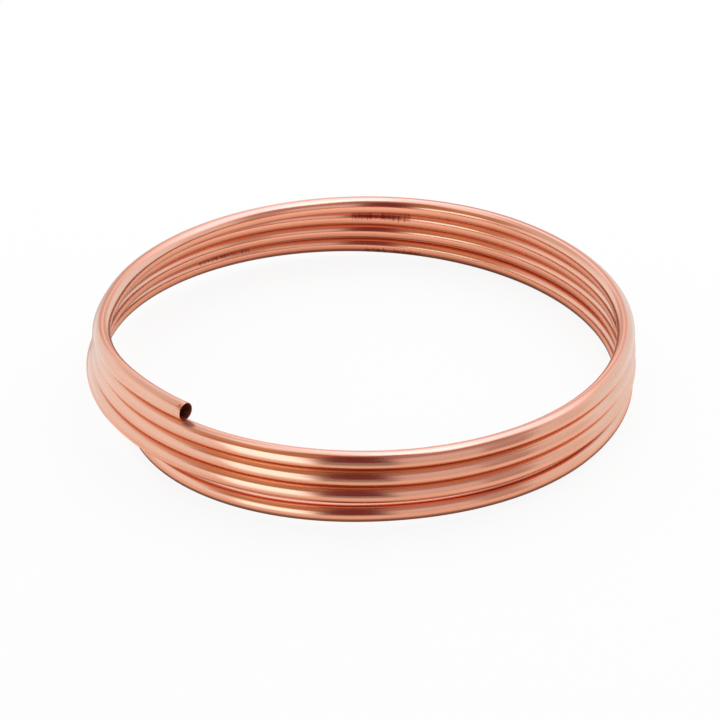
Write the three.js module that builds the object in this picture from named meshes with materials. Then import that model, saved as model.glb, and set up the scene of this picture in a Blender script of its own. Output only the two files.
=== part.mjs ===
// Coil of soft copper tube: one length of round tube, wound into four stacked turns
// and lying flat, with both ends cut square and left open.
//
// Units are millimetres and +Z is up. The coil lies flat, with its outline centred on
// the origin and the lowest point of its bottom turn at Z = 0. Places along the tube are
// counted in turns, u: 0 at the end that lies on the floor and TURNS at the upper end.

import * as THREE from 'three';

// The tube, 5/8 in outside with a 0.040 in wall
const TUBE_OD = 15.88;            // outside diameter
const WALL = 1.02;                // wall thickness

// The winding
const TURN_RADIUS = 237.5;        // from the axis to the tube's centreline, at mid height
const TURNS = 4.1;                // number of turns, from the lower end to the upper
const TURN_GAP = 0.2;             // clearance between one turn and the next
const TOP_END_ANGLE = 228.5;      // where the upper end is, in degrees from +X

// What winding and handling have done to the round turns
const OVAL = 5.0;                 // the long radius less the mean radius
const OVAL_ANGLE = 85;            // direction of the long radius, in degrees from +X
const SPREAD = 1.7;               // how much wider in radius each turn is than the one above
const LEAN = 1.8;                 // how far each turn is shifted from the one above it
const LEAN_ANGLE = 112;           // direction of that shift, in degrees from +X

// The upper turn is sprung a little straighter, a short way back from its end
const TOP_FLAT = 11.2;            // how far in the tube lies there
const TOP_FLAT_TURNS = 0.28;      // how far back from the end that is deepest
const TOP_FLAT_REACH = 0.22;      // and how many turns it reaches each way

// Past that the upper end stands out, and the turns under it are pushed out with it
const END_SPRING = 4.0;           // how far out the upper end itself stands
const END_SPRING_TURNS = 0.10;    // how far back from the end that is widest
const END_SPRING_REACH = 0.075;   // and how many turns it reaches each way
const BULGE = 2.4;                // how far out the turns bulge, at the top
const BULGE_ANGLE = 221;          // direction of the bulge, in degrees from +X
const BULGE_REACH = 48;           // how many degrees it reaches each way
const BULGE_DEPTH = 3.0;          // and how many turns down it fades over

// The bottom turn is pushed aside, and the lower end is bent in under it
const BOTTOM_SHIFT = 3.0;         // how far aside the bottom turn lies
const BOTTOM_SHIFT_ANGLE = 165;   // direction of that shift, in degrees from +X
const BOTTOM_SHIFT_TURNS = 0.65;  // how many turns from the lower end are shifted in full
const BOTTOM_SHIFT_FADE = 0.85;   // and how many more the shift takes to fade
const TAIL_TUCK = 36.5;           // how far in the lower end is bent
const TAIL_TUCK_TURNS = 0.205;    // and how many turns before the end that begins
const TAIL_DROP = 5.5;            // how far the lower end hangs from the turn above it
const TAIL_DROP_TURNS = 0.88;     // and how many turns before the end that begins

// Between its two points of rest the bottom turn bows up
const BOTTOM_BOW = 2.6;           // how far up
const BOTTOM_BOW_TURNS = 0.215;   // how far from the lower end that is highest
const BOTTOM_BOW_REACH = 0.14;    // and how many turns it reaches each way

// The coil rests on its lower end and on the turn across from it
const REST_TILT = 6.8;            // the winding's rise at its high side
const REST_TILT_ANGLE = 226;      // direction of the high side, in degrees from +X

// How finely the solid is drawn
const STEPS_PER_TURN = 48;
const OUTER_SIDES = 16;
const BORE_SIDES = 12;

const OUTER_RADIUS = TUBE_OD / 2;
const BORE_RADIUS = OUTER_RADIUS - WALL;
const PITCH = TUBE_OD + TURN_GAP;

const copper = new THREE.MeshStandardMaterial({
  name: 'soft_copper', color: 0xd9916c, roughness: 0.32, metalness: 1.0,
});

// 1 at distance 0, falling smoothly to 0 at distance 1 and staying there.
function fade(distance) {
  const x = THREE.MathUtils.clamp(distance, 0, 1);
  return (1 + Math.cos(Math.PI * x)) / 2;
}

// Direction from the coil's axis to the centreline, in radians from +X.
function angleAt(u) {
  return THREE.MathUtils.degToRad(TOP_END_ANGLE) + 2 * Math.PI * (u - TURNS);
}

// How far the turns are pushed out on the side where the upper end is.
function bulgeAt(u) {
  const aside = angleAt(u) - THREE.MathUtils.degToRad(BULGE_ANGLE);
  const degreesAside = Math.abs(THREE.MathUtils.radToDeg(Math.atan2(Math.sin(aside), Math.cos(aside))));
  return BULGE * fade(degreesAside / BULGE_REACH) * fade((TURNS - u) / BULGE_DEPTH);
}

// Distance from the turn's own centre to the centreline.
function radiusAt(u) {
  const spread = SPREAD * (TURNS / 2 - u);
  const oval = OVAL * Math.cos(2 * (angleAt(u) - THREE.MathUtils.degToRad(OVAL_ANGLE)));
  const fromTop = TURNS - u;
  const topFlat = TOP_FLAT * fade(Math.abs(fromTop - TOP_FLAT_TURNS) / TOP_FLAT_REACH);
  const spring = END_SPRING * fade(Math.abs(fromTop - END_SPRING_TURNS) / END_SPRING_REACH);
  const tailBend = Math.max(1 - u / TAIL_TUCK_TURNS, 0);
  const pushed = spring + bulgeAt(u) - topFlat - TAIL_TUCK * tailBend ** 2;
  return TURN_RADIUS + spread + oval + pushed;
}

// Height of the centreline before the coil is set down on the floor.
function heightAt(u) {
  const tilt = REST_TILT * Math.cos(angleAt(u) - THREE.MathUtils.degToRad(REST_TILT_ANGLE));
  const drop = TAIL_DROP * fade(u / TAIL_DROP_TURNS);
  const bow = BOTTOM_BOW * fade(Math.abs(u - BOTTOM_BOW_TURNS) / BOTTOM_BOW_REACH);
  return PITCH * u + tilt - drop + bow;
}

class Winding extends THREE.Curve {
  getPoint(share, target = new THREE.Vector3()) {
    const u = share * TURNS;
    const angle = angleAt(u);
    const radius = radiusAt(u);
    const lean = LEAN * (TURNS / 2 - u);
    const leanAngle = THREE.MathUtils.degToRad(LEAN_ANGLE);
    const shift = BOTTOM_SHIFT * fade((u - BOTTOM_SHIFT_TURNS) / BOTTOM_SHIFT_FADE);
    const shiftAngle = THREE.MathUtils.degToRad(BOTTOM_SHIFT_ANGLE);
    return target.set(
      radius * Math.cos(angle) + lean * Math.cos(leanAngle) + shift * Math.cos(shiftAngle),
      radius * Math.sin(angle) + lean * Math.sin(leanAngle) + shift * Math.sin(shiftAngle),
      heightAt(u),
    );
  }
}

// A polygon whose corners lie on a circle.
function polygon(Outline, radius, sides) {
  const outline = new Outline();
  for (let i = 0; i < sides; i += 1) {
    const angle = 2 * Math.PI * i / sides;
    const x = radius * Math.cos(angle);
    const y = radius * Math.sin(angle);
    if (i === 0) outline.moveTo(x, y);
    else outline.lineTo(x, y);
  }
  outline.closePath();
  return outline;
}

// The tube's section, a ring, is carried along the winding.
function makeTube() {
  const section = polygon(THREE.Shape, OUTER_RADIUS, OUTER_SIDES);
  section.holes.push(polygon(THREE.Path, BORE_RADIUS, BORE_SIDES));
  const geometry = new THREE.ExtrudeGeometry(section, {
    extrudePath: new Winding(),
    steps: Math.round(STEPS_PER_TURN * TURNS),
    bevelEnabled: false,
  });
  const tube = new THREE.Mesh(geometry, copper);
  tube.name = 'copper_tube';
  return tube;
}

// The coil is set down with its outline centred on the origin and its lowest point at Z = 0.
const tube = makeTube();
tube.geometry.computeBoundingBox();
const { min, max } = tube.geometry.boundingBox;
tube.position.set(-(min.x + max.x) / 2, -(min.y + max.y) / 2, -min.z);

const coil = new THREE.Group();
coil.name = 'copper_tube_coil';
coil.add(tube);

export default coil;
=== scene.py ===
# %% [markdown]
# # A coil of soft copper tube
# Soft copper tube leaves the mill as one long length, annealed so that it bends by hand and
# wound into a flat coil that a plumber straightens as it is used. This one is five eighths
# of an inch outside, about six metres long, and lies in four turns with both ends cut
# square and open. The solid model of it is loaded first and stays as it is: it says where
# everything goes. The smooth, detailed tube made here takes its place for the eye.

# %% Load the solid model
import math

import bpy
import numpy as np
from mathutils import Matrix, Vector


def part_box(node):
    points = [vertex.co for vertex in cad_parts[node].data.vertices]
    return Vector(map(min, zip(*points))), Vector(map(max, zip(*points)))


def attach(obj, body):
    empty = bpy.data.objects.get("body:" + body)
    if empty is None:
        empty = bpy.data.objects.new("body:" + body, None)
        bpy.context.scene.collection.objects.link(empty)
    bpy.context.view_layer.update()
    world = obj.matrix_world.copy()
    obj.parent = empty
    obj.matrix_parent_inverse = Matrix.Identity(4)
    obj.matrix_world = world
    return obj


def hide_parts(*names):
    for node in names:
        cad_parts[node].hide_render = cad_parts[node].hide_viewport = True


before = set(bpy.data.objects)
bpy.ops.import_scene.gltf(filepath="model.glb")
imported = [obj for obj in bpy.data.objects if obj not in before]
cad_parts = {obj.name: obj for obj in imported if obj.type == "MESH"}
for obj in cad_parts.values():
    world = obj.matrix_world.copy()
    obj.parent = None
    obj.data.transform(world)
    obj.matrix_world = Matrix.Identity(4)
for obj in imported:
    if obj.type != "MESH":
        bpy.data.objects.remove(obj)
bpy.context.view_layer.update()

solid_low, solid_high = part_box("copper_tube")
print("solid tube, lowest and highest corner:", solid_low, solid_high)

# %% [markdown]
# ## The camera
# A product photographer shoots such a coil with a long lens from a few metres away, so that
# the near side is hardly bigger than the far side and the ring keeps its shape. A camera
# could be pointed by hand, but then nobody could say why it stands there. Here it is
# placed by four plain facts: the point that it looks at, how high it looks down from, how
# far to the side it stands and how far away it is.

# %% Place the camera
CAMERA_TARGET = np.array([-0.00057, 0.00747, 0.01835])   # the point it looks at, in metres
CAMERA_ELEVATION = 29.058                                # above the floor, in degrees
CAMERA_YAW = -2.431                                      # to the side of the -Y direction
CAMERA_ROLL = -0.448                                     # leaning to its left
CAMERA_DISTANCE = 3.0938                                 # metres
LENS = 173.77                                            # focal length in mm
SENSOR_WIDTH = 36.0                                      # mm


def camera_axes(elevation, yaw, roll):
    """Right, up and back of a camera: back points from the target to the camera, right is
    level and square to it, up is square to both, and the roll turns right and up."""
    e, y, r = np.radians([elevation, yaw, roll])
    back = np.array([np.sin(y) * np.cos(e), -np.cos(y) * np.cos(e), np.sin(e)])
    right = np.cross([0.0, 0.0, 1.0], back)
    right /= np.linalg.norm(right)
    up = np.cross(back, right)
    return right * np.cos(r) + up * np.sin(r), up * np.cos(r) - right * np.sin(r), back


right, up, back = camera_axes(CAMERA_ELEVATION, CAMERA_YAW, CAMERA_ROLL)
camera_place = CAMERA_TARGET + CAMERA_DISTANCE * back
camera = bpy.data.objects.new("camera", bpy.data.cameras.new("camera"))
camera.data.sensor_width = SENSOR_WIDTH
camera.data.lens = LENS
camera.data.clip_end = 100.0
turned = np.eye(4)
turned[:3] = np.column_stack([right, up, back, camera_place])
camera.matrix_world = Matrix(turned.tolist())
bpy.context.scene.collection.objects.link(camera)
bpy.context.scene.camera = camera
print("camera stands at", camera_place.round(3))

# %% [markdown]
# ## The winding
# A tube could be drawn as a curve with a bevel, but a curve object decides by itself how
# its section turns, and it gives no say over the cut ends. So the path is a formula. Every
# place on it has a number u, counted in turns from the end on the floor. A perfect helix
# has one radius and one rise per turn. A real coil has been wound on a drum, tied, shipped
# and opened, so its formula adds what that did: the turns are slightly oval, each is
# shifted a little from the next, the free upper end springs straighter, and the lower end
# is bent in under the turn above. The numbers are those of the solid model.

# %% The numbers of the winding, in millimetres, degrees and turns
TUBE_OD = 15.88             # 5/8 in outside
WALL = 1.02                 # 0.040 in wall
TURN_RADIUS = 237.5         # from the axis to the tube's centreline, at mid height
TURNS = 4.1
TURN_GAP = 0.2              # clearance between one turn and the next
TOP_END_ANGLE = 228.5       # where the upper end is, from +X
OVAL = 5.0                  # the long radius less the mean radius
OVAL_ANGLE = 85
SPREAD = 1.7                # how much wider each turn is than the one above
LEAN = 1.8                  # how far each turn is shifted from the one above
LEAN_ANGLE = 112
TOP_FLAT = 11.2             # the upper turn springs straighter near its end
TOP_FLAT_TURNS = 0.28
TOP_FLAT_REACH = 0.22
END_SPRING = 4.0            # past that the upper end stands out
END_SPRING_TURNS = 0.10
END_SPRING_REACH = 0.075
BULGE = 2.4                 # and the turns under it are pushed out with it
BULGE_ANGLE = 221
BULGE_REACH = 48            # degrees each way
BULGE_DEPTH = 3.0           # turns over which it fades downwards
BOTTOM_SHIFT = 3.0          # the bottom turn is pushed aside
BOTTOM_SHIFT_ANGLE = 165
BOTTOM_SHIFT_TURNS = 0.65
BOTTOM_SHIFT_FADE = 0.85
TAIL_TUCK = 36.5            # the lower end is bent in
TAIL_TUCK_TURNS = 0.205
TAIL_DROP = 5.5             # and hangs from the turn above
TAIL_DROP_TURNS = 0.88
BOTTOM_BOW = 2.6            # between its points of rest the bottom turn bows up
BOTTOM_BOW_TURNS = 0.215
BOTTOM_BOW_REACH = 0.14
REST_TILT = 6.8             # the coil rests on its lower end
REST_TILT_ANGLE = 226

MM = 0.001
PITCH = TUBE_OD + TURN_GAP
OUTER = TUBE_OD / 2 * MM
BORE = (TUBE_OD / 2 - WALL) * MM


def fade(distance):
    """Half a cosine wave: 1 at distance 0, falling smoothly to 0 at 1 and staying there."""
    return (1 + np.cos(np.pi * np.clip(distance, 0, 1))) / 2


def toward(degrees):
    """A level unit vector in that direction from +X."""
    return np.array([np.cos(np.radians(degrees)), np.sin(np.radians(degrees)), 0.0])


def winding(u):
    """Where the tube's centreline is, in metres, at turn number u.

    Angle: one full circle a turn. Radius: the mean radius, plus a twice-round cosine for
    the oval, plus the bulge and the spring of the upper end, less a smooth dip behind that
    end and a parabola at the lower end. Height: one pitch a turn, plus a once-round cosine
    for the tilt, less the drop of the lower end, plus the bow of the bottom turn. Two level
    shifts are added, one in step with u and one that fades out above the bottom turn.
    """
    angle = np.radians(TOP_END_ANGLE) + 2 * np.pi * (u - TURNS)
    radius = TURN_RADIUS + SPREAD * (TURNS / 2 - u)
    radius = radius + OVAL * np.cos(2 * (angle - np.radians(OVAL_ANGLE)))
    from_top = TURNS - u
    degrees_aside = abs((np.degrees(angle) - BULGE_ANGLE + 180) % 360 - 180)
    radius += BULGE * fade(degrees_aside / BULGE_REACH) * fade(from_top / BULGE_DEPTH)
    radius += END_SPRING * fade(abs(from_top - END_SPRING_TURNS) / END_SPRING_REACH)
    radius -= TOP_FLAT * fade(abs(from_top - TOP_FLAT_TURNS) / TOP_FLAT_REACH)
    radius -= TAIL_TUCK * np.clip(1 - u / TAIL_TUCK_TURNS, 0, 1) ** 2
    height = PITCH * u + REST_TILT * np.cos(angle - np.radians(REST_TILT_ANGLE))
    height -= TAIL_DROP * fade(u / TAIL_DROP_TURNS)
    height += BOTTOM_BOW * fade(abs(u - BOTTOM_BOW_TURNS) / BOTTOM_BOW_REACH)
    round_axis = np.stack([radius * np.cos(angle), radius * np.sin(angle), height], -1)
    lean = (LEAN * (TURNS / 2 - u))[..., None] * toward(LEAN_ANGLE)
    pushed = fade((u - BOTTOM_SHIFT_TURNS) / BOTTOM_SHIFT_FADE)[..., None]
    return MM * (round_axis + lean + BOTTOM_SHIFT * pushed * toward(BOTTOM_SHIFT_ANGLE))


# %% Measure the winding
FINE = 20000                # places, close enough to take the path between two as straight
FOOT = 0.3048               # metres

fine_u = np.linspace(0, TURNS, FINE)
steps = np.linalg.norm(np.diff(winding(fine_u), axis=0), axis=1)
fine_along = np.concatenate([[0.0], np.cumsum(steps)])
LENGTH = fine_along[-1]
print("length of tube:", round(LENGTH, 4), "m, or", round(LENGTH / FOOT, 2), "ft")

# %% [markdown]
# ## The tube
# The section of a drawn tube is a ring, and its outline is a closed loop: along the outside,
# over the cut edge, back through the bore and over the other edge. So the whole tube is one
# grid that closes in both directions, like the skin of a ring doughnut, and it has no seam
# or cap to get wrong. One direction of the grid is a list of rows, each with a place along
# the tube and a radius, and the other goes round the section. A tube cutter rolls the
# outer edge a little inwards, and the reamer on its back leaves a small bevel inside, so
# a few rows at each end draw that. The bore needs fewer rows than the outside.

# %% The rows of the grid: place along the tube and radius, in metres
RINGS_PER_TURN = 240
BORE_RINGS_PER_TURN = 90
SIDES = 48
ROLLED_EDGE = 0.45 * MM      # radius of the edge that the cutter's wheel rolls over
REAMED_BEVEL = 0.30 * MM     # inner bevel left by the reamer
EDGE_STEPS = 6               # rows round the rolled edge

outside_along = np.linspace(ROLLED_EDGE, LENGTH - ROLLED_EDGE, round(RINGS_PER_TURN * TURNS))
bore_along = np.linspace(LENGTH - REAMED_BEVEL, REAMED_BEVEL, round(BORE_RINGS_PER_TURN * TURNS))
quarter = np.linspace(0, np.pi / 2, EDGE_STEPS + 1)[1:]
# How far the rim's rows lie from the cut face and from the axis, from outside to inside.
rim_depth = np.concatenate([ROLLED_EDGE * (1 - np.sin(quarter)), [0.0]])
rim_radius = np.concatenate([OUTER - ROLLED_EDGE * (1 - np.cos(quarter)),
                             [BORE + REAMED_BEVEL]])
row_along = np.concatenate([outside_along, LENGTH - rim_depth, bore_along, rim_depth[::-1]])
row_radius = np.concatenate([
    np.full(len(outside_along), OUTER), rim_radius,
    np.full(len(bore_along), BORE), rim_radius[::-1],
])
print(len(row_along), "rows of", SIDES, "corners")


# %% Carry the rows along the winding
def tube_points(along, radius, theta):
    """Corners of the tube: the centreline at that place along the tube, plus the radius
    times cosine theta outwards and sine theta upwards, both square to the tube."""
    u = np.interp(along, fine_along, fine_u)
    small = 1e-4                # of a turn, to find which way the path runs
    ahead = winding(u + small) - winding(u - small)
    ahead /= np.linalg.norm(ahead, axis=1)[:, None]
    outwards = np.cross(ahead, [0.0, 0.0, 1.0])
    outwards /= np.linalg.norm(outwards, axis=1)[:, None]
    upwards = np.cross(outwards, ahead)
    spoke = outwards[:, None] * np.cos(theta)[:, None]
    spoke = spoke + upwards[:, None] * np.sin(theta)[:, None]
    return winding(u)[:, None] + radius[:, None, None] * spoke


theta = np.arange(SIDES) * 2 * np.pi / SIDES
corners = tube_points(row_along, row_radius, theta)
# Set down like the solid: the outline centred on the origin, the lowest point on the floor.
low, high = corners.min((0, 1)), corners.max((0, 1))
corners -= [(low[0] + high[0]) / 2, (low[1] + high[1]) / 2, low[2]]
print("smooth tube, lowest and highest corner:", corners.min((0, 1)), corners.max((0, 1)))

# %% Build the mesh
SHARP_EDGE = 35             # degrees between two faces, past which the edge isn't smoothed

rows = len(row_along)
row, side = np.meshgrid(np.arange(rows), np.arange(SIDES), indexing="ij")
next_row, next_side = (row + 1) % rows, (side + 1) % SIDES
# Forwards and then up the side, which turns every face outwards.
quads = np.stack([row * SIDES + side, next_row * SIDES + side,
                  next_row * SIDES + next_side, row * SIDES + next_side], -1).reshape(-1, 4)
mesh = bpy.data.meshes.new("copper_tube_smooth")
mesh.from_pydata(corners.reshape(-1, 3).tolist(), [], quads.tolist())
mesh.update()
tube = bpy.data.objects.new("copper_tube_smooth", mesh)
bpy.context.scene.collection.objects.link(tube)
mesh.shade_smooth()
mesh.set_sharp_from_angle(angle=math.radians(SHARP_EDGE))
print(len(mesh.polygons), "faces, which is", 2 * len(mesh.polygons), "triangles")

# %% [markdown]
# ## Remembering the straight tube
# Drawing marks run along the tube and print is stamped on it before it is wound. Patterns
# made from the place in the room would cut across the turns, so each corner also keeps the
# place that it had while the tube was straight: x along the tube, y and z across it. The
# materials read that place. Each corner also keeps how near the skin of the next turn is,
# because that is where a coil rubs and its skin is made rougher, and where painted bounced
# light and painted shade are laid. A second map lays the skin out flat in strips, which is
# how a painter would unroll six metres of tube onto one square sheet.

# %% Keep the straight place of each corner
straight = np.stack([
    np.broadcast_to(row_along[:, None], (rows, SIDES)),
    row_radius[:, None] * np.cos(theta),
    row_radius[:, None] * np.sin(theta),
], -1)
attribute = mesh.attributes.new("straight", "FLOAT_VECTOR", "POINT")
attribute.data.foreach_set("vector", straight.astype(np.float32).ravel())

# %% Measure how near the next turn is
NEAR_STEPS = 9              # places tried on each neighbour, a fortieth of a turn apart
NEAR_SPAN = 0.1             # of a turn, to each side of the place straight above or below
OWN_TURN = 0.5              # of a turn, within which a place is on the same turn
FAR_OFF = 1.0               # metres, where there is no neighbour

row_u = np.interp(row_along, fine_along, fine_u)
gap = np.full((rows, SIDES), FAR_OFF)
set_down = corners[0, 0] - tube_points(row_along[:1], row_radius[:1], theta)[0, 0]
for neighbour in (-1, 1):
    for step in np.linspace(-NEAR_SPAN, NEAR_SPAN, NEAR_STEPS) + neighbour:
        there = np.clip(row_u + step, 0, TURNS)
        centre = (winding(there) + set_down)[:, None]
        distance = np.linalg.norm(corners - centre, axis=-1) - OUTER
        distance[abs(there - row_u) < OWN_TURN] = FAR_OFF
        gap = np.minimum(gap, distance)
gap[row_radius < OUTER - ROLLED_EDGE] = FAR_OFF              # the bore has no neighbour
attribute = mesh.attributes.new("gap", "FLOAT", "POINT")
attribute.data.foreach_set("value", gap.astype(np.float32).ravel())
print("least gap between two turns:", round(gap.min() / MM, 2), "mm")

# %% Lay the skin out in strips
STRIPS = 11                                   # of the outside, side by side on the sheet
outside_rows = len(outside_along) - 1         # rows of faces
rows_per_strip = math.ceil(outside_rows / STRIPS)
outside = row < outside_rows
strip = np.where(outside, row // rows_per_strip, STRIPS)
strip_start = np.where(outside, strip * rows_per_strip, outside_rows)
strip_rows = np.where(outside, rows_per_strip, rows - outside_rows)
# Each face's corners run forwards, up, back, so these are their offsets in row and side.
sheet_x = ((row - strip_start)[..., None] + [0, 1, 1, 0]) / strip_rows[..., None]
sheet_y = (strip[..., None] + (side[..., None] + [0, 0, 1, 1]) / SIDES) / (STRIPS + 1)
sheet = mesh.uv_layers.new(name="OFBake")
sheet.data.foreach_set("uv", np.stack([sheet_x, sheet_y], -1).astype(np.float32).ravel())
print(STRIPS, "strips of the outside, each", round(LENGTH / STRIPS, 3), "m long")

# %% [markdown]
# ## Drawn soft copper
# The tube is pulled cold through a polished ring and then softened in a furnace with no
# air in it, so it comes out clean, pink and satin bright. Bare copper reflects only in its
# own colour, which is why the grooves between two turns are so red: the light there has
# met copper twice. One flat colour would look like plastic. What makes it metal drawn
# through a ring is fine streaks along the tube, some smoother and some duller, a few
# longer stains from handling, and a skin that is not quite even when it is bent. The
# material is built up in that order: the clean metal, painted bounced light in the grooves
# and how smooth it is, then a mark, two patches of painted shade, and the ink that was put
# on it later.

# %% Helpers: colours, nodes and noise
MULTIPLY = {"operation": "MULTIPLY"}
MULTIPLY_ADD = {"operation": "MULTIPLY_ADD"}
SOFT_STEP = {"interpolation_type": "SMOOTHSTEP"}
COLOURS = {"data_type": "RGBA"}       # a mix of two colours, at the sockets A_2 and B_2
NOISE_LOW, NOISE_HIGH = 0.3, 0.7      # nearly all of a noise lies between these


def linear(hex_colour):
    """sRGB hex to linear: each channel over 255, then to the power that screens use."""
    value = np.array([int(hex_colour[i:i + 2], 16) / 255 for i in (1, 3, 5)])
    light = np.where(value <= 0.04045, value / 12.92, ((value + 0.055) / 1.055) ** 2.4)
    return (*light.tolist(), 1.0)


def add(tree, kind, settings=None, **links):
    """Adds a node of that kind. Settings are its properties, links are socket names, with _
    for a space, and either a value or the output that feeds the socket. A number after
    the name picks among sockets with one name, as in Value_1."""
    node = tree.nodes.new("ShaderNode" + kind)
    for name, value in (settings or {}).items():
        setattr(node, name, value)
    for name, value in links.items():
        base, _, last = name.rpartition("_")
        if last.isdigit():
            same = [s for s in node.inputs if s.name == base.replace("_", " ")]
            socket = same[int(last)]
        else:
            socket = node.inputs[name.replace("_", " ")]
        if isinstance(value, bpy.types.NodeSocket):
            tree.links.new(value, socket)
        else:
            socket.default_value = value
    return node


def material(name):
    """An empty node material with its output, ready for a surface."""
    made = bpy.data.materials.new(name)
    made.use_nodes = True
    made.node_tree.nodes.clear()
    return made, made.node_tree


def stretched(tree, place, length, width, detail):
    """Noise that is long along the tube and narrow across it."""
    scaled = add(tree, "VectorMath", MULTIPLY, Vector_0=place,
                 Vector_1=(1 / length, 1 / width, 1 / width))
    return add(tree, "TexNoise", Vector=scaled.outputs["Vector"], Scale=1.0,
               Detail=detail, Roughness=0.55).outputs["Fac"]


# %% Clean metal, streaked and stained
COPPER = "#E8A68C"           # clean annealed copper
COPPER_BROWN = "#D28E70"     # where hands and air have dulled it
STREAK_WIDTH = 1.6 * MM      # die lines that show from a step away
STREAK_LENGTH = 180 * MM
STREAK_FROM, STREAK_TO = 0.35, 0.70        # of the noise, between which the brown comes up
STREAK_SHARE = 0.25          # the most brown in a streak
STAIN_WIDTH = 9 * MM         # stains from handling
STAIN_LENGTH = 90 * MM
STAIN_FROM, STAIN_TO = 0.45, 0.75
STAIN_SHARE = 0.35

drawn_copper, tree = material("drawn_soft_copper")
place = add(tree, "Attribute", {"attribute_name": "straight"}).outputs["Vector"]
streaks = stretched(tree, place, STREAK_LENGTH, STREAK_WIDTH, 3.0)
stains = stretched(tree, place, STAIN_LENGTH, STAIN_WIDTH, 4.0)
stained = add(tree, "MapRange", Value=stains, From_Min=STAIN_FROM, From_Max=STAIN_TO,
              To_Min=0.0, To_Max=STAIN_SHARE).outputs["Result"]
streaked = add(tree, "MapRange", Value=streaks, From_Min=STREAK_FROM, From_Max=STREAK_TO,
               To_Min=0.0, To_Max=STREAK_SHARE).outputs["Result"]
browned = add(tree, "Math", {"operation": "ADD", "use_clamp": True},
              Value_0=stained, Value_1=streaked).outputs["Value"]
colour = add(tree, "Mix", COLOURS, Factor_0=browned, A_2=linear(COPPER),
             B_2=linear(COPPER_BROWN)).outputs[2]
print("clean copper, linear:", [round(channel, 3) for channel in linear(COPPER)[:3]])

# %% Grooves: painted bounced light between the turns, and a rougher skin where they touch
PAINTED_BOUNCE_ORANGE = "#F2A468"    # painted orange of light bounced between two turns
GROOVE_REACH = 4.0 * MM      # distance between two skins at which the painted bounced light and the added roughness end
PAINTED_BOUNCE_SHARE = 0.5           # of the painted orange where the skins touch

near = add(tree, "Attribute", {"attribute_name": "gap"}).outputs["Fac"]
touching = add(tree, "MapRange", SOFT_STEP, Value=near, From_Min=0.0,
               From_Max=GROOVE_REACH, To_Min=1.0, To_Max=0.0).outputs["Result"]
share = add(tree, "Math", MULTIPLY, Value_0=touching, Value_1=PAINTED_BOUNCE_SHARE).outputs["Value"]
# Painted bounced light: an orange laid on the skin where the next turn is near.
colour = add(tree, "Mix", COLOURS, Factor_0=share, A_2=colour,
             B_2=linear(PAINTED_BOUNCE_ORANGE)).outputs[2]
print("corners in a groove:", int((gap < GROOVE_REACH).sum()), "of", gap.size)

# %% How smooth the skin is
BRIGHT_ROUGHNESS, DULL_ROUGHNESS = 0.11, 0.19        # of bright and of dull streaks
LINE_WIDTH = 0.35 * MM       # the finest die lines, drawn about three times too coarse
LINE_LENGTH = 60 * MM
LINE_ROUGHNESS = 0.05        # what a line adds
LINE_DEPTH = 0.02 * MM
LINE_STRENGTH = 0.25         # of their bump
GROOVE_ROUGHNESS = 0.25      # what rubbing adds where the skins touch

lines = stretched(tree, place, LINE_LENGTH, LINE_WIDTH, 2.0)
rough = add(tree, "MapRange", Value=streaks, From_Min=NOISE_LOW, From_Max=NOISE_HIGH,
            To_Min=BRIGHT_ROUGHNESS, To_Max=DULL_ROUGHNESS).outputs["Result"]
for value, more in ((lines, LINE_ROUGHNESS), (touching, GROOVE_ROUGHNESS)):
    rough = add(tree, "Math", MULTIPLY_ADD, Value_0=value, Value_1=more,
                Value_2=rough).outputs["Value"]
bump = add(tree, "Bump", Height=lines, Strength=LINE_STRENGTH, Distance=LINE_DEPTH)
print("roughness of clean skin:", BRIGHT_ROUGHNESS, "to", DULL_ROUGHNESS + LINE_ROUGHNESS)

# %% [markdown]
# ### Marks of use, and painted shade
# A coil that has been handled has marks, and each belongs to one place. The cutter's roller
# has bruised the skin beside the upper end. Two more patches are painted shade: a brown
# spot on the turn under that end, where the skin is also made duller, and a dark red band
# in the open gap over the bottom turn. They could be painted by hand on a picture of the
# skin. But each is only a soft edge round a point or along a stretch, so a distance,
# measured on the straight tube, says where it is, and that also says how large it is in
# millimetres.

# %% A bruise beside the upper end
# This brown also serves as the painted shade under the upper end, further down.
BRUISE_AND_SHADE_BROWN = "#8A4A3C"
BRUISE_SHARE = 0.7           # of the brown at its middle
BRUISE_SIZE = 1.9 * MM       # radius
BRUISE_CORE = 0.3            # the part of the radius that is evenly brown
BRUISE_FROM_END = 2.6 * MM
BRUISE_SIDE = 60             # degrees from level outwards, through straight up


def skin_spot(along, degrees):
    """The straight place of a spot on the skin: how far it is along the tube, and the
    outer radius times cosine and sine of its side, from level outwards through up."""
    side = math.radians(degrees)
    return along, OUTER * math.cos(side), OUTER * math.sin(side)


bruise = add(tree, "VectorMath", {"operation": "DISTANCE"}, Vector_0=place,
             Vector_1=skin_spot(LENGTH - BRUISE_FROM_END, BRUISE_SIDE)).outputs["Value"]
share = add(tree, "MapRange", SOFT_STEP, Value=bruise,
            From_Min=BRUISE_CORE * BRUISE_SIZE, From_Max=BRUISE_SIZE,
            To_Min=BRUISE_SHARE, To_Max=0.0).outputs["Result"]
colour = add(tree, "Mix", COLOURS, Factor_0=share, A_2=colour,
             B_2=linear(BRUISE_AND_SHADE_BROWN)).outputs[2]
print("bruise:", round(2 * BRUISE_SIZE / MM, 1), "mm across")

# %% Painted shade under the upper end, with a duller skin there
SHADED_SPOT_LENGTH, SHADED_SPOT_WIDTH = 9 * MM, 5 * MM     # half of each
SHADED_SPOT_AHEAD = 5 * MM           # of the end, along the tube
SHADED_SPOT_SIDE = 72                # degrees from level outwards, through straight up
SHADED_SPOT_CORE = 0.4               # the part of its size that is evenly shaded and dull
SHADE_UNDER_END_SHARE = 0.5              # of the painted brown shade at its middle
SHADED_SPOT_ROUGHNESS = 0.25         # what it adds there
LAST_STRETCH = 1.0           # metre of tube that can't lie under its own end

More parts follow.
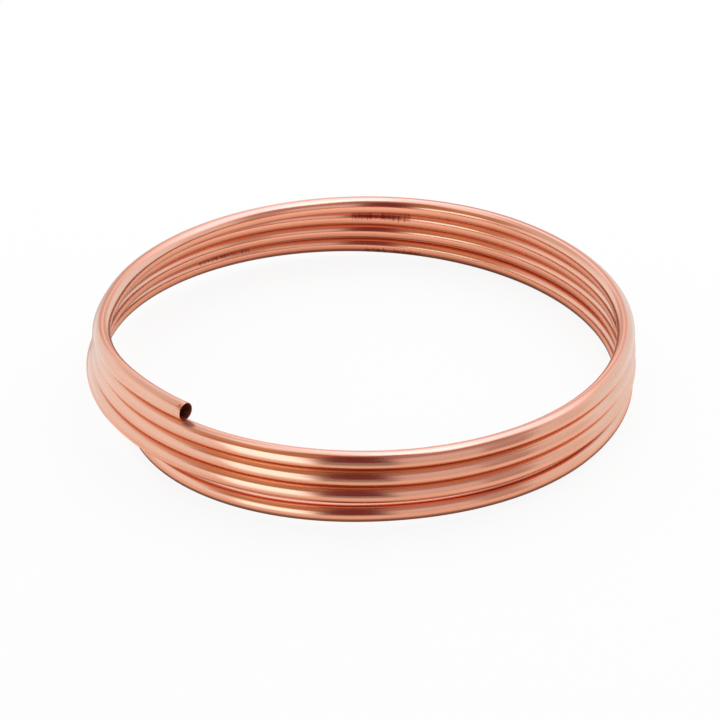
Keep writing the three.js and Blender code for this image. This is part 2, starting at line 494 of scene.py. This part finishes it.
below = fine_along < LENGTH - LAST_STRETCH
from_end = np.linalg.norm(winding(fine_u[below]) - winding(np.array([TURNS])), axis=1)
under_end = fine_along[below][np.argmin(from_end)]
shaded_dull_spot = add(tree, "VectorMath", {"operation": "SUBTRACT"}, Vector_0=place,
          Vector_1=skin_spot(under_end + SHADED_SPOT_AHEAD, SHADED_SPOT_SIDE)).outputs["Vector"]
shaded_dull_spot = add(tree, "VectorMath", MULTIPLY, Vector_0=shaded_dull_spot,
          Vector_1=(1 / SHADED_SPOT_LENGTH, 1 / SHADED_SPOT_WIDTH, 1 / SHADED_SPOT_WIDTH)).outputs["Vector"]
shaded_dull_spot = add(tree, "VectorMath", {"operation": "LENGTH"}, Vector_0=shaded_dull_spot).outputs["Value"]
shaded_dull_spot = add(tree, "MapRange", SOFT_STEP, Value=shaded_dull_spot, From_Min=SHADED_SPOT_CORE, From_Max=1.0,
          To_Min=1.0, To_Max=0.0).outputs["Result"]
rough = add(tree, "Math", MULTIPLY_ADD, Value_0=shaded_dull_spot, Value_1=SHADED_SPOT_ROUGHNESS,
            Value_2=rough).outputs["Value"]
# Painted shade: brown laid on the turn below the upper end.
share = add(tree, "Math", MULTIPLY, Value_0=shaded_dull_spot, Value_1=SHADE_UNDER_END_SHARE).outputs["Value"]
colour = add(tree, "Mix", COLOURS, Factor_0=share, A_2=colour,
             B_2=linear(BRUISE_AND_SHADE_BROWN)).outputs[2]
print("the upper end lies over the place", round(under_end, 3), "m along the tube")

# %% Painted shade in the open gap over the bottom turn
GAP_SHADE_RED = "#9A4428"         # painted shade, a dark red
GAP_SHADE_SHARE = 0.75            # of the painted red next to the turn above
GAP_SHADE_NEAR, GAP_SHADE_FAR = 2.5 * MM, 6.5 * MM   # distances from that turn where it fades
GAP_SHADE_END, GAP_SHADE_FADE = 0.54, 0.10   # along the tube, in metres
UNSHADED_MIDDLE = 0.295           # along the tube, where the gap is widest and no shade is painted
UNSHADED_NEAR, UNSHADED_FAR = 0.07, 0.14     # distances from there between which the painted shade begins

along = add(tree, "SeparateXYZ", Vector=place).outputs["X"]
from_unshaded = add(tree, "Math", {"operation": "SUBTRACT"}, Value_0=along, Value_1=UNSHADED_MIDDLE)
from_unshaded = add(tree, "Math", {"operation": "ABSOLUTE"}, Value_0=from_unshaded.outputs["Value"])
share = GAP_SHADE_SHARE
for value, start, end, first, last in (
        (from_unshaded.outputs["Value"], UNSHADED_NEAR, UNSHADED_FAR, 0.0, 1.0),
        (along, GAP_SHADE_END, GAP_SHADE_END + GAP_SHADE_FADE, 1.0, 0.0),
        (near, GAP_SHADE_NEAR, GAP_SHADE_FAR, 1.0, 0.0)):
    gap_shade = add(tree, "MapRange", SOFT_STEP, Value=value, From_Min=start, From_Max=end,
               To_Min=first, To_Max=last).outputs["Result"]
    share = add(tree, "Math", MULTIPLY, Value_0=gap_shade, Value_1=share).outputs["Value"]
# Painted shade: a dark red laid on the top of the bottom turn, under the turn above.
colour = add(tree, "Mix", COLOURS, Factor_0=share, A_2=colour,
             B_2=linear(GAP_SHADE_RED)).outputs[2]
print("damp ends", round(GAP_SHADE_END + GAP_SHADE_FADE, 2), "m along the tube")

# %% [markdown]
# ### Ink on the tube
# Such tube carries a row of small ink print every so often, put on with a wheel while it is
# straight. Here each print is only a row of plain strokes in loose groups, a little out of
# line. They could be a picture laid on the tube, but a formula stays sharp at any
# distance: a stroke is there where the place along the tube and the place across it are
# both inside the row, and where a noise that changes only along the tube is high. The ink
# is a thin dye, so it darkens what the metal reflects and does not hide it.

# %% Strokes in groups
STROKE_PITCH = 3.2 * MM      # mean distance from one stroke to the next
STROKE_FROM, STROKE_TO = 0.38, 0.62        # of the noise, between which a stroke begins
STROKE_FAINT, STROKE_FULL = 0.35, 0.75     # ink between strokes and in them
GROUP_PITCH = 11 * MM        # mean distance from one group of strokes to the next
GROUP_FROM, GROUP_TO = 0.32, 0.44
GROUP_FAINT = 0.45           # share of the ink between groups


def ink_strokes(tree, along):
    """How dark the ink is at a place along the tube: a soft step of a quick noise, times a
    soft step of a slower one that gathers the strokes in groups."""
    inked = 1.0
    for pitch, detail, start, end, faint, full in (
            (STROKE_PITCH, 1.0, STROKE_FROM, STROKE_TO, STROKE_FAINT, STROKE_FULL),
            (GROUP_PITCH, 0.0, GROUP_FROM, GROUP_TO, GROUP_FAINT, 1.0)):
        noise = add(tree, "TexNoise", {"noise_dimensions": "1D"}, W=along,
                    Scale=1 / pitch, Detail=detail).outputs["Fac"]
        step = add(tree, "MapRange", SOFT_STEP, Value=noise, From_Min=start,
                   From_Max=end, To_Min=faint, To_Max=full).outputs["Result"]
        inked = add(tree, "Math", MULTIPLY, Value_0=step, Value_1=inked).outputs["Value"]
    return inked


# %% Rows of strokes
INK_ROWS = (                # middle along the tube and length, in metres; side, in degrees
    (1.2000, 0.058, 133),   # from level outwards, through straight up
    (1.0265, 0.056, 203),
    (4.0390, 0.057, 143),
    (4.0390, 0.055, 165),
)
INK_HEIGHT = 3.4 * MM       # of a stroke, across the tube
INK_EDGE = 0.5 * MM         # how soft the strokes' upper and lower ends are
ROW_EDGE = 2.5 * MM         # and the two ends of a row
INK_RAGGED = 1.1 * MM       # how far strokes stand out of line
RAGGED_PITCH = STROKE_PITCH / 1.7


def ink_rows(tree, place, rows):
    """How much ink there is: for each row the product of three soft edges, one of the
    distance from its middle along the tube, one of the distance across the tube, moved up
    or down by a noise, and one of the depth below the skin, on its own side of the tube
    only. The rows' maximum is taken, and all of it is multiplied by the strokes."""
    along = add(tree, "SeparateXYZ", Vector=place).outputs["X"]
    ragged = add(tree, "TexNoise", {"noise_dimensions": "1D"}, W=along,
                 Scale=1 / RAGGED_PITCH, Detail=1.0).outputs["Fac"]
    ragged = add(tree, "MapRange", Value=ragged, From_Min=NOISE_LOW, From_Max=NOISE_HIGH,
                 To_Min=-INK_RAGGED, To_Max=INK_RAGGED).outputs["Result"]
    ink = 0.0
    for middle, length, degrees in rows:
        _, out_y, out_z = skin_spot(0.0, degrees)
        outwards = (0.0, out_y / OUTER, out_z / OUTER)
        beside = add(tree, "VectorMath", {"operation": "DOT_PRODUCT"}, Vector_0=place,
                     Vector_1=(0.0, -outwards[2], outwards[1])).outputs["Value"]
        beside = add(tree, "Math", {"operation": "ADD"}, Value_0=beside,
                     Value_1=ragged).outputs["Value"]
        facing = add(tree, "VectorMath", {"operation": "DOT_PRODUCT"}, Vector_0=place,
                     Vector_1=outwards).outputs["Value"]
        here = 1.0
        for value, centre, half, edge in ((along, middle, length / 2, ROW_EDGE),
                                          (beside, 0.0, INK_HEIGHT / 2, INK_EDGE),
                                          (facing, OUTER, OUTER, INK_EDGE)):
            distance = add(tree, "Math", {"operation": "SUBTRACT"}, Value_0=value,
                           Value_1=centre).outputs["Value"]
            distance = add(tree, "Math", {"operation": "ABSOLUTE"},
                           Value_0=distance).outputs["Value"]
            inside = add(tree, "MapRange", SOFT_STEP, Value=distance,
                         From_Min=half - edge, From_Max=half + edge,
                         To_Min=1.0, To_Max=0.0).outputs["Result"]
            here = add(tree, "Math", MULTIPLY, Value_0=inside, Value_1=here).outputs["Value"]
        ink = add(tree, "Math", {"operation": "MAXIMUM"}, Value_0=here,
                  Value_1=ink).outputs["Value"]
    return add(tree, "Math", MULTIPLY, Value_0=ink,
               Value_1=ink_strokes(tree, along)).outputs["Value"]


# %% Put the drawn copper together
INK = "#94424E"              # purple dye, as it looks over white

ink = ink_rows(tree, place, INK_ROWS)
colour = add(tree, "Mix", {"data_type": "RGBA", "blend_type": "MULTIPLY"}, Factor_0=ink,
             A_2=colour, B_2=linear(INK)).outputs[2]
shader = add(tree, "BsdfPrincipled", Base_Color=colour, Metallic=1.0,
             Roughness=rough, Normal=bump.outputs["Normal"])
add(tree, "OutputMaterial", Surface=shader.outputs["BSDF"])
mesh.materials.append(drawn_copper)
print(len(INK_ROWS), "rows of strokes;", len(tree.nodes), "nodes in the drawn copper")

# %% [markdown]
# ## Cut ends and bore
# A tube cutter squeezes the metal apart, which leaves the rim dull and darker than the skin,
# with fine rings from the wheel. Inside, nobody polishes: drawing oil has baked on in the
# furnace, so the bore is a dull dark red brown, and deep inside it looks black
# because hardly any light comes back out. Both could be the same copper as the outside,
# but then the open end would shine like a ring. They get finishes of their own.

# %% The cutter's rim
RIM_BROWN = "#7A3A2C"       # squeezed metal, dull
RIM_BRIGHT = "#B86A50"      # where the wheel has left a burnished ring
RING_WIDTH = 0.25 * MM      # of the wheel's rings
RING_LENGTH = 2.0 * MM
BURNISH_FROM, BURNISH_TO = 0.4, 0.7        # of the noise, between which it is burnished
BURNISH_SHARE = 0.6
RIM_DULL, RIM_SMOOTH = 0.45, 0.30          # roughness

squeezed_rim, tree = material("squeezed_copper_rim")
place = add(tree, "Attribute", {"attribute_name": "straight"}).outputs["Vector"]
rings = stretched(tree, place, RING_LENGTH, RING_WIDTH, 2.0)
burnished = add(tree, "MapRange", Value=rings, From_Min=BURNISH_FROM,
                From_Max=BURNISH_TO, To_Min=0.0, To_Max=BURNISH_SHARE).outputs["Result"]
colour = add(tree, "Mix", COLOURS, Factor_0=burnished, A_2=linear(RIM_BROWN),
             B_2=linear(RIM_BRIGHT)).outputs[2]
rough = add(tree, "MapRange", Value=rings, To_Min=RIM_DULL, To_Max=RIM_SMOOTH)
shader = add(tree, "BsdfPrincipled", Base_Color=colour, Metallic=1.0,
             Roughness=rough.outputs["Result"])
add(tree, "OutputMaterial", Surface=shader.outputs["BSDF"])
mesh.materials.append(squeezed_rim)
print("rings on the rim:", round(RING_WIDTH / MM, 2), "mm wide")

# %% The baked bore
BORE_BROWN = "#B05A48"      # baked drawing oil over red oxide
BORE_BLACK = "#6A2C22"
BAKED_PATCH = 3.0 * MM      # size of its patches
BAKED_LENGTH = 14 * MM
BAKED_FROM, BAKED_TO = 0.35, 0.65          # of the noise, between which it darkens
BORE_SMOOTH, BORE_DULL = 0.50, 0.75        # roughness
BORE_METAL = 0.5            # share of bare metal under the film

baked_bore, tree = material("baked_copper_bore")
place = add(tree, "Attribute", {"attribute_name": "straight"}).outputs["Vector"]
patches = stretched(tree, place, BAKED_LENGTH, BAKED_PATCH, 3.0)
darker = add(tree, "MapRange", Value=patches, From_Min=BAKED_FROM, From_Max=BAKED_TO,
             To_Min=0.0, To_Max=1.0).outputs["Result"]
colour = add(tree, "Mix", COLOURS, Factor_0=darker, A_2=linear(BORE_BROWN),
             B_2=linear(BORE_BLACK)).outputs[2]
rough = add(tree, "MapRange", Value=patches, To_Min=BORE_SMOOTH, To_Max=BORE_DULL)
shader = add(tree, "BsdfPrincipled", Base_Color=colour, Metallic=BORE_METAL,
             Roughness=rough.outputs["Result"])
add(tree, "OutputMaterial", Surface=shader.outputs["BSDF"])
mesh.materials.append(baked_bore)
print("patches in the bore:", round(BAKED_PATCH / MM, 1), "mm across")

# %% Which faces have which finish
SKIN, RIM, BORE_FILM = 0, 1, 2
SKIN_ROWS = 3               # rows of the rolled edge that keep the skin's finish

rim_rows = len(rim_depth)
finish = np.full(rows, SKIN)                       # of the faces that start at each row
finish[outside_rows + SKIN_ROWS:outside_rows + rim_rows] = RIM
finish[outside_rows + rim_rows:] = BORE_FILM
finish[rows - rim_rows:rows - SKIN_ROWS] = RIM
finish[rows - SKIN_ROWS:] = SKIN
mesh.polygons.foreach_set("material_index", finish[row].ravel().astype(np.int32))
print("faces of skin, rim and bore:", np.bincount(finish) * SIDES)

# %% [markdown]
# ## The studio
# Polished metal shows the room more than itself, so most of a picture of a tube is made by
# what stands around it. Lamps could be single bright points, but a tube would show each as
# a thin hard line. A studio photographer uses large cloths, boards and walls instead. Here
# they are painted on one big dome, like a panorama: even cloth first, and then each lamp,
# wall and gap over it, at its compass direction and height in degrees and with soft
# borders. White paper lies under the coil, and pools of lamp light lie on the paper.

# %% Paint the surround
EVEN_CLOTH = 1.1            # brightness of the cloth that everything else is painted over
# Each board: compass directions from the front, to the right; heights above the floor,
# where those below it are pools on the paper; width of its soft border, all in degrees;
# colour; brightness.
BOARDS = {
    "cloth, left": ((-135, -62), (-90, 32), 12, "#E0F6FF", 1.44),
    "cloth in cool daylight, left and behind": ((-165, -128), (-90, 34), 14, "#D0F0FF", 1.66),
    "cloth in cool daylight, right and behind": ((98, 160), (-90, 34), 14, "#D0F0FF", 1.54),
    "wall behind": ((162, 202), (-90, 33), 12, "#FFF8F8", 0.78),
    "cloth over that wall": ((160, 206), (32, 48), 7, "#E0EAFF", 1.7),
    "the white part of that wall": ((175, 185), (-90, 33), 9, "#FFFFFF", 1.2),
    "cloth overhead, right and behind": ((50, 186), (62, 100), 12, "#D2E2FF", 3.7),
    "its lower part": ((100, 186), (42, 64), 12, "#CEDEFF", 3.0),
    "cloth overhead, left": ((-184, -92), (62, 100), 10, "#CFEBFF", 2.0),
    "grey wall, left and behind": ((-168, -108), (36, 60), 10, "#ECFAFF", 1.0),
    "its near end": ((-110, -88), (36, 60), 10, "#FFEEE4", 0.88),
    "grey wall, right": ((44, 70), (-90, 33), 9, "#FFF8F6", 0.6),
    "its brighter end": ((68, 98), (-90, 36), 9, "#EAF9FF", 1.12),
    "board, front right": ((6, 44), (-90, 34), 7, "#F6FAFF", 0.93),
    "brown ceiling, right": ((6, 82), (33, 61), 9, "#FFE1E0", 0.54),
    "brown ceiling, left": ((-78, -18), (20, 62), 9, "#FFD2A4", 0.56),
    "its lighter end": ((-84, -44), (42, 62), 9, "#FFDCA8", 0.72),
    "its far part": ((-96, -78), (34, 62), 9, "#FFDCC4", 0.66),
    "dark ceiling in front": ((-52, 40), (60, 76), 10, "#FFC4BC", 0.40),
    "lamp, front left": ((-58, -24), (-90, 23), 9, "#C6EEFA", 2.8),
    "dark gap for the camera": ((-20, 9), (-90, 64), 8, "#FF9094", 0.2),
}


def paint(shade, strength):
    """Light of that colour: its linear red, green and blue, times the brightness."""
    return strength * np.array(linear(shade)[:3])


def laid_over(under, over, cover):
    """One light painted over another: what is under it times the part that isn't covered,
    plus what is laid over times the cover."""
    cover = cover[..., None]
    return under * (1 - cover) + over * cover


def surround(azimuth, elevation):
    """Light in a direction: the even cloth, and then for each board a mix of what is there
    and the board, by a cover that is a product of half cosine waves, one of the distance
    in from its sides, one from its foot and one from its head."""
    light = np.full((*np.shape(azimuth), 3), EVEN_CLOTH)
    for (left, right), (bottom, top), border, shade, strength in BOARDS.values():
        aside = abs((azimuth - (left + right) / 2 + 180) % 360 - 180)
        cover = fade((aside - (right - left) / 2) / border + 0.5)
        cover = cover * fade((bottom - elevation) / border + 0.5)
        cover = cover * fade((elevation - top) / border + 0.5)
        light = laid_over(light, paint(shade, strength), cover)
    return light


print(len(BOARDS), "boards, walls, gaps and lamps on the dome")


# %% A helper: what camera, mirrors and other light see
def seen_by(tree, camera_value, mirror_value, other_value):
    """A value that depends on who looks: the camera, a mirror or glass, or other light."""
    ray = add(tree, "LightPath").outputs
    mirror = add(tree, "Math", {"operation": "MAXIMUM"}, Value_0=ray["Is Glossy Ray"],
                 Value_1=ray["Is Transmission Ray"]).outputs["Value"]
    value = add(tree, "MapRange", Value=mirror, To_Min=other_value, To_Max=mirror_value)
    return add(tree, "MapRange", Value=ray["Is Camera Ray"], To_Min=value.outputs["Result"],
               To_Max=camera_value).outputs["Result"]


# %% A helper: a sheet with light painted on it
def stage_grid(name, places, light):
    """A sheet through a grid of places, with the light painted on its corners."""
    across = places.shape[1]
    i, j = np.meshgrid(np.arange(places.shape[0] - 1), np.arange(across - 1), indexing="ij")
    first = (i * across + j).ravel()
    quads = np.stack([first, first + across, first + across + 1, first + 1], -1)
    shape = bpy.data.meshes.new(name)
    shape.from_pydata(places.reshape(-1, 3).tolist(), [], quads.tolist())
    painted = np.concatenate([light, np.ones((*light.shape[:-1], 1))], -1)
    attribute = shape.attributes.new("light", "FLOAT_COLOR", "POINT")
    attribute.data.foreach_set("color", painted.astype(np.float32).ravel())
    made = bpy.data.objects.new(name, shape)
    bpy.context.scene.collection.objects.link(made)
    return made


# %% The dome
DOME_RADIUS = 3.0           # metres
COMPASS_STEPS = 181         # corners round the dome and the paper
HEIGHT_STEPS = 61           # corners from the floor to the top
LIGHT_LEVEL = 1.05          # light that falls on the paper, where 1 shows a colour as it is

azimuth, elevation = np.meshgrid(np.linspace(-180, 180, COMPASS_STEPS),
                                 np.linspace(0, 90, HEIGHT_STEPS), indexing="ij")
dome_light = surround(azimuth, elevation)
a, e = np.radians(azimuth), np.radians(elevation)
dome = stage_grid("studio_dome", DOME_RADIUS * np.stack(
    [np.sin(a) * np.cos(e), -np.cos(a) * np.cos(e), np.sin(e)], -1), dome_light)
dome.visible_camera = False
# Light on the paper is the mean of the dome's, weighted by sine times cosine of the height.
weight = np.sin(e) * np.cos(e)
paper_light = (dome_light.mean(-1) * weight).sum() / weight.sum()
print("mean brightness of the dome over the paper:", round(paper_light, 3))

# %% Painted cloth, which shows its colours only in the metal
cloth, tree = material("painted_cloth")
painted = add(tree, "Attribute", {"attribute_name": "light"}).outputs["Color"]
plain = add(tree, "RGBToBW", Color=painted).outputs["Val"]
shade = add(tree, "Mix", COLOURS, Factor_0=seen_by(tree, 1.0, 1.0, 0.0), A_2=plain,
            B_2=painted).outputs[2]
glow = add(tree, "Emission", Color=shade,
           Strength=seen_by(tree, 1.0, 1.0, LIGHT_LEVEL / paper_light))
add(tree, "OutputMaterial", Surface=glow.outputs["Emission"])
dome.data.materials.append(cloth)
print("other light from the dome is", round(LIGHT_LEVEL / paper_light, 3), "times as bright")

# %% [markdown]
# ### The paper and its pools of light
# The lower half of each turn mirrors the paper that it lies on: bright where a lamp shines
# on it, warm beside the coil, which throws copper light there, and dark under it. Real
# lamps could make those pools, but they would also burn out the white around the coil.
# So the pools are painted on the paper's corners, and only the metal sees them, mixed
# with some of the real shading. The camera sees plain white paper with a faint shadow.

# %% Colours of the paper, as the metal mirrors them
PAPER_REACH = 12.0          # metres from the middle
RING = 0.25                 # outer radius of the coil
POOL_NEAR, POOL_FAR = 0.26, 0.36   # metres from the middle between which the pools begin
# The paper near the coil catches light that the coil has coloured: in front and inside the
# ring, at its outer sides, where less light reaches it, and in the middle of the ring.
NEAR_FRONT = ("#FFF2E0", 1.3)
NEAR_INSIDE = ("#FFE8D2", 1.55)
NEAR_SIDES = ("#FF9A68", 0.2)
MIDDLE = ("#FFF4E6", 1.35)
RING_IN, RING_OUT = 0.22, 0.25     # metres between which the inside turns to the outside
MIDDLE_NEAR, MIDDLE_FAR = 0.14, 0.22       # metres between which the middle ends
SIDES_BEGIN, SIDES_FULL = 80, 140  # degrees from the front between which the sides begin
SIDES_INSIDE = 0.4          # share of the sides' colour that is left inside the ring
SIDES_WIDER = 0.025         # metres by which the dark is wider at the sides
# Hardly any light gets in under the bottom turn, out to here from under its middle.
UNDER = ("#9A6A50", 0.2)
UNDER_NEAR, UNDER_FAR = 9 * MM, 20 * MM
SHADOW_MIRRORED = 0.45      # share of real shading in what the metal shows of the paper


def falling(value, start, end):
    """Half a cosine wave: 1 up to the start, falling smoothly to 0 at the end."""
    return fade((value - start) / (end - start))


def lamp_direction(azimuth, reach):
    """Compass direction in which the ring's skin mirrors that spot of the paper.

    The skin at direction b throws a line of sight from the front to direction 2 b. It
    passes through the spot where reach times sine of (2 b less azimuth) is the ring's
    radius times sine b, and halving steps find b between half the azimuth and all of it."""
    side, angle = np.sign(azimuth), np.radians(abs(azimuth))
    low, high = angle / 2, angle.copy()
    for _ in range(25):
        middle = (low + high) / 2
        beyond = reach * np.sin(2 * middle - angle) > RING * np.sin(middle)
        low, high = np.where(beyond, low, middle), np.where(beyond, middle, high)
    return side * np.degrees(2 * middle)


# %% Paint the paper
# Corners lie close together where the light changes quickly, under and beside the coil.
reach = np.concatenate([[0.0], np.linspace(0.05, 0.17, 13), np.linspace(0.18, 0.28, 41),
                        np.linspace(0.29, 0.5, 22), np.geomspace(0.55, PAPER_REACH, 24)])
azimuth, reach = np.meshgrid(np.linspace(-180, 180, COMPASS_STEPS), reach, indexing="ij")
a = np.radians(azimuth)
paper_places = np.stack([reach * np.sin(a), -reach * np.cos(a), 0 * reach], -1)

pools = surround(lamp_direction(azimuth, np.maximum(reach, RING)), np.zeros_like(reach))
# What real shading already gives is taken off, and the rest is spread over the other share.
pools = np.maximum(pools - SHADOW_MIRRORED, 0) / (1 - SHADOW_MIRRORED)

at_sides = 1 - falling(abs(azimuth), SIDES_BEGIN, SIDES_FULL)
outside_ring = 1 - falling(reach, RING_IN, RING_OUT)
begun = 1 - falling(reach - SIDES_WIDER * at_sides, POOL_NEAR, POOL_FAR)
at_sides = at_sides * (SIDES_INSIDE + (1 - SIDES_INSIDE) * outside_ring)
near_coil = laid_over(paint(*NEAR_INSIDE), paint(*NEAR_FRONT), outside_ring)
near_coil = laid_over(near_coil, paint(*NEAR_SIDES), at_sides)
# Dark pools begin further out, in each colour by itself.
begun = np.where(pools < near_coil, begun[..., None] ** 2, begun[..., None])
near_coil = laid_over(near_coil, paint(*MIDDLE), falling(reach, MIDDLE_NEAR, MIDDLE_FAR))
pools = near_coil * (1 - begun) + pools * begun

from_turn = np.full(reach.shape, 1.0)                        # metres to the bottom turn
for spot in winding(np.linspace(0, 1, 200)) + set_down:
    across = paper_places[..., :2] - spot[:2]
    from_turn = np.minimum(from_turn, np.hypot(across[..., 0], across[..., 1]))
pools = laid_over(pools, paint(*UNDER), falling(from_turn, UNDER_NEAR, UNDER_FAR))
floor = stage_grid("floor", paper_places, pools)
print("paper:", reach.size, "corners, of which", int((from_turn < UNDER_FAR).sum()),
      "lie under the coil")

# %% White paper, which keeps the shadow
PAPER = "#F6F6F6"
WHITE = "#FFFFFF"
SHADOW_SEEN = 0.10          # share of real shading in what the camera sees of the paper

paper, tree = material("matt_white_paper")
matt = add(tree, "BsdfDiffuse", Color=linear(PAPER))
pool = add(tree, "Attribute", {"attribute_name": "light"}).outputs["Color"]
is_seen = add(tree, "LightPath").outputs["Is Camera Ray"]
lit = add(tree, "Mix", COLOURS, Factor_0=is_seen, A_2=pool, B_2=linear(WHITE)).outputs[2]
even = add(tree, "Emission", Color=lit, Strength=1.0)
both = add(tree, "MixShader", Fac=seen_by(tree, 1 - SHADOW_SEEN, 1 - SHADOW_MIRRORED, 0.0),
           Shader_0=matt.outputs["BSDF"], Shader_1=even.outputs["Emission"])
add(tree, "OutputMaterial", Surface=both.outputs["Shader"])
floor.data.materials.append(paper)
print("real shading in the paper: seen", SHADOW_SEEN, "and mirrored", SHADOW_MIRRORED)

# %% White surround behind the dome
SURROUND_LIGHT = 0.4        # what it gives to other light

world = bpy.data.worlds.new("white_surround")
bpy.context.scene.world = world
world.use_nodes = True
tree = world.node_tree
tree.nodes.clear()
sky = add(tree, "Background", Color=linear(WHITE),
          Strength=seen_by(tree, 1.0, 1.0, SURROUND_LIGHT))
add(tree, "OutputWorld", Surface=sky.outputs["Background"])
print("surround:", WHITE, "to the camera and to mirrors")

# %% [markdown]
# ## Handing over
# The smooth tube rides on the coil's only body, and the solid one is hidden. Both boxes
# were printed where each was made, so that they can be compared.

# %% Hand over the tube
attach(tube, "root")
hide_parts("copper_tube")
bpy.context.scene.view_settings.view_transform = "Standard"
